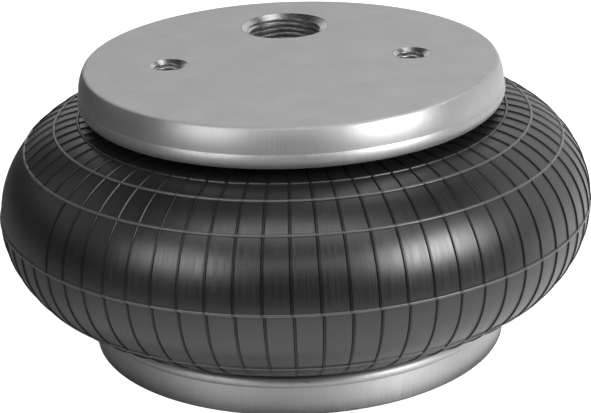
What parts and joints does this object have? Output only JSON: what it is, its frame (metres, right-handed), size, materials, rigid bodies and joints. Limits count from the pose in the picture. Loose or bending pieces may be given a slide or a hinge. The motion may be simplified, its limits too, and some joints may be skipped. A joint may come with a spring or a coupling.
{
  "type": "air bellows actuator",
  "caption": "Short-stroke pneumatic bellows actuator: a ribbed rubber convolution crimped between two round steel plates, with an air inlet and threaded fixing holes.",
  "frame": {"origin": "centre of the lower plate's outer face", "axes": "+Z along the stroke, from the lower plate to the upper plate; X through the fixing holes; the air inlet lies on the +Y side"},
  "size_m": [0.198, 0.198, 0.096],
  "materials": {
    "plate_steel": "satin zinc-plated pressed steel",
    "thread_steel": "turned and tapped steel",
    "bead_wire": "brass-coated wire hoop",
    "cover_rubber": "satin moulded rubber with raised ribs",
    "cord_ply": "rubberised cord fabric",
    "liner_rubber": "smooth calendered rubber"
  },
  "bodies": {
    "lower": {"lower_bead_plate": "plate_steel", "lower_blind_nut_left": "thread_steel", "lower_blind_nut_right": "thread_steel", "lower_bead_core": "bead_wire"},
    "upper": {"upper_bead_plate": "plate_steel", "upper_blind_nut_left": "thread_steel", "upper_blind_nut_right": "thread_steel", "upper_bead_core": "bead_wire", "air_inlet_socket": "thread_steel"},
    "bellows": {"outer_cover": "cover_rubber", "outer_cord_ply": "cord_ply", "inner_cord_ply": "cord_ply", "inner_liner": "liner_rubber"}
  },
  "joints": [
    {"name": "stroke", "type": "slide", "parent": "lower", "child": "upper", "axis": [0, 0, 1], "range_m": [-0.045, 0.034], "stiffness_N_per_m": 4000, "deforming": ["outer_cover", "outer_cord_ply", "inner_cord_ply", "inner_liner"]},
    {"name": "girth_rise", "type": "slide", "parent": "lower", "child": "bellows", "axis": [0, 0, 1], "range_m": [-0.0225, 0.017]}
  ],
  "couplings": [
    {"joint": "girth_rise", "follows": "stroke", "ratio": 0.5}
  ]
}
